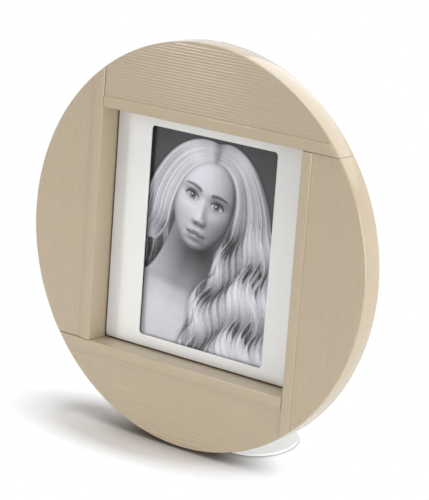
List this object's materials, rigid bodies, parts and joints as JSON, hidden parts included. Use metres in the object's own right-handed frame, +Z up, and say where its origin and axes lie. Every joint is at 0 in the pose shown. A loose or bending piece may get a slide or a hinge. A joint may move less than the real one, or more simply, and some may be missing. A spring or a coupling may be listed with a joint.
{
  "type": "round photo frame",
  "caption": "Round table photo frame of reeded beige mouldings set pinwheel fashion round a square window, with a white mat, an upright print and a white plug-in foot behind.",
  "frame": {"origin": "centre of the foot's underside, on the table", "axes": "+Z up, -Y out of the front of the frame, +X to the viewer's right; the disc leans back by 6.75 degrees"},
  "size_m": [0.33, 0.0888, 0.33],
  "materials": {
    "moulding": "satin beige lacquer",
    "dowel": "plain beech",
    "hardboard": "raw brown fibreboard",
    "mat_white": "glossy white",
    "clear_glass": "clear, polished",
    "print_paper": "black and white photographic paper",
    "grey_card": "grey card",
    "black_cover": "black-faced hardboard",
    "zinc_steel": "zinc plated",
    "white_steel": "white powder coat",
    "white_socket": "white moulded plastic",
    "pad_foam": "thin dark foam rubber"
  },
  "bodies": {
    "frame": {"top_panel": "moulding", "right_panel": "moulding", "bottom_panel": "moulding", "left_panel": "moulding", "joint_dowels": "dowel", "back_board": "hardboard", "back_board_screws": "zinc_steel", "mat_sheet": "mat_white", "carrier_board": "hardboard", "carrier_screws": "zinc_steel", "glazing": "clear_glass", "photo_print": "print_paper", "backing_card": "grey_card", "rear_cover": "black_cover", "turn_button_screws": "zinc_steel", "stand_socket": "white_socket", "socket_screws": "zinc_steel"},
    "turn_button_upper_left": {"turn_button_upper_left": "zinc_steel"},
    "turn_button_upper_right": {"turn_button_upper_right": "zinc_steel"},
    "turn_button_lower_left": {"turn_button_lower_left": "zinc_steel"},
    "turn_button_lower_right": {"turn_button_lower_right": "zinc_steel"},
    "stand": {"stand_upright": "white_steel", "foot_plate": "white_steel", "foot_rivets": "zinc_steel", "foot_pad": "pad_foam"}
  },
  "joints": [
    {"name": "turn_button_upper_left_swing", "type": "hinge", "parent": "frame", "child": "turn_button_upper_left", "pos_m": [-0.075, -0.0001, 0.21253], "axis": [0, -0.9931, 0.1175], "continuous": true},
    {"name": "turn_button_upper_right_swing", "type": "hinge", "parent": "frame", "child": "turn_button_upper_right", "pos_m": [0.075, -0.0001, 0.21253], "axis": [0, -0.9931, 0.1175], "continuous": true},
    {"name": "turn_button_lower_left_swing", "type": "hinge", "parent": "frame", "child": "turn_button_lower_left", "pos_m": [-0.075, -0.01185, 0.11323], "axis": [0, -0.9931, 0.1175], "continuous": true},
    {"name": "turn_button_lower_right_swing", "type": "hinge", "parent": "frame", "child": "turn_button_lower_right", "pos_m": [0.075, -0.01185, 0.11323], "axis": [0, -0.9931, 0.1175], "continuous": true},
    {"name": "stand_pull", "type": "slide", "parent": "frame", "child": "stand", "axis": [0, -0.1175, -0.9931], "range_m": [0, 0.03]}
  ]
}
